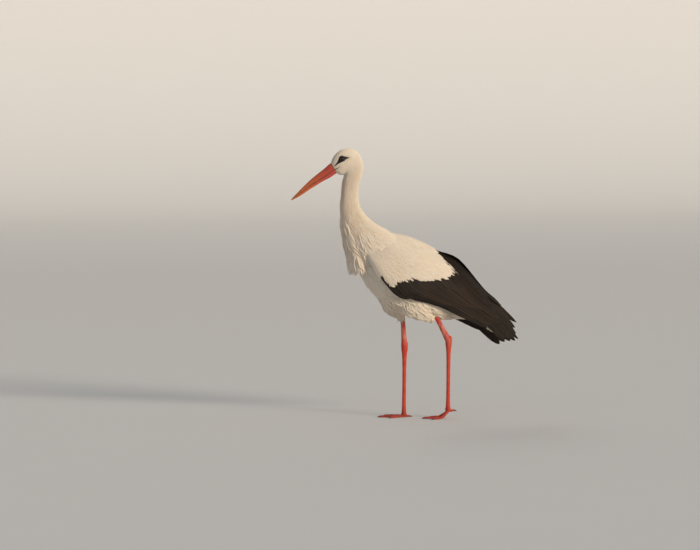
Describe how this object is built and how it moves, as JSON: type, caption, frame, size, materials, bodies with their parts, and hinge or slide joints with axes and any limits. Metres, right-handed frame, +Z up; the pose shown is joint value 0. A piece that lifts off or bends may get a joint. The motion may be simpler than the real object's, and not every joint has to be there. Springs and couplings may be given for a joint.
{
  "type": "white stork",
  "caption": "Life-size still model of a walking white stork: long straight bill, slim neck, folded wings over a short tail, and long bare legs.",
  "frame": {"origin": "middle of the bounding box's base, on the floor under the belly", "axes": "+Z up, -X the way the bird faces, -Y towards its left side"},
  "size_m": [0.7572, 0.2176, 0.891],
  "materials": {
    "plumage": "soft matte white feathers, warm cream",
    "flight_feathers": "black feathers with a faint satin sheen",
    "bill": "satin horn, red at the base and orange at the tip",
    "eye": "wet gloss, dark brown",
    "leg_skin": "satin scaled skin, orange red",
    "claw": "dull dark horn"
  },
  "bodies": {
    "root": {"head": "plumage", "neck_upper": "plumage", "neck_lower": "plumage", "breast_plumes": "plumage", "trunk": "plumage", "tail": "plumage", "thigh_left": "plumage", "thigh_right": "plumage", "wing_left_coverts": "plumage", "wing_right_coverts": "plumage", "wing_left_secondaries": "flight_feathers", "wing_left_primaries": "flight_feathers", "wing_right_secondaries": "flight_feathers", "wing_right_primaries": "flight_feathers", "bill_upper": "bill", "bill_lower": "bill", "eye_left": "eye", "shank_left": "leg_skin", "tarsus_left": "leg_skin", "toe_left_hallux": "leg_skin", "claw_left_hallux": "claw", "toe_left_inner": "leg_skin", "claw_left_inner": "claw", "toe_left_middle": "leg_skin", "claw_left_middle": "claw", "toe_left_outer": "leg_skin", "claw_left_outer": "claw", "eye_right": "eye", "shank_right": "leg_skin", "tarsus_right": "leg_skin", "toe_right_hallux": "leg_skin", "claw_right_hallux": "claw", "toe_right_inner": "leg_skin", "claw_right_inner": "claw", "toe_right_middle": "leg_skin", "claw_right_middle": "claw", "toe_right_outer": "leg_skin", "claw_right_outer": "claw"}
  },
  "joints": []
}
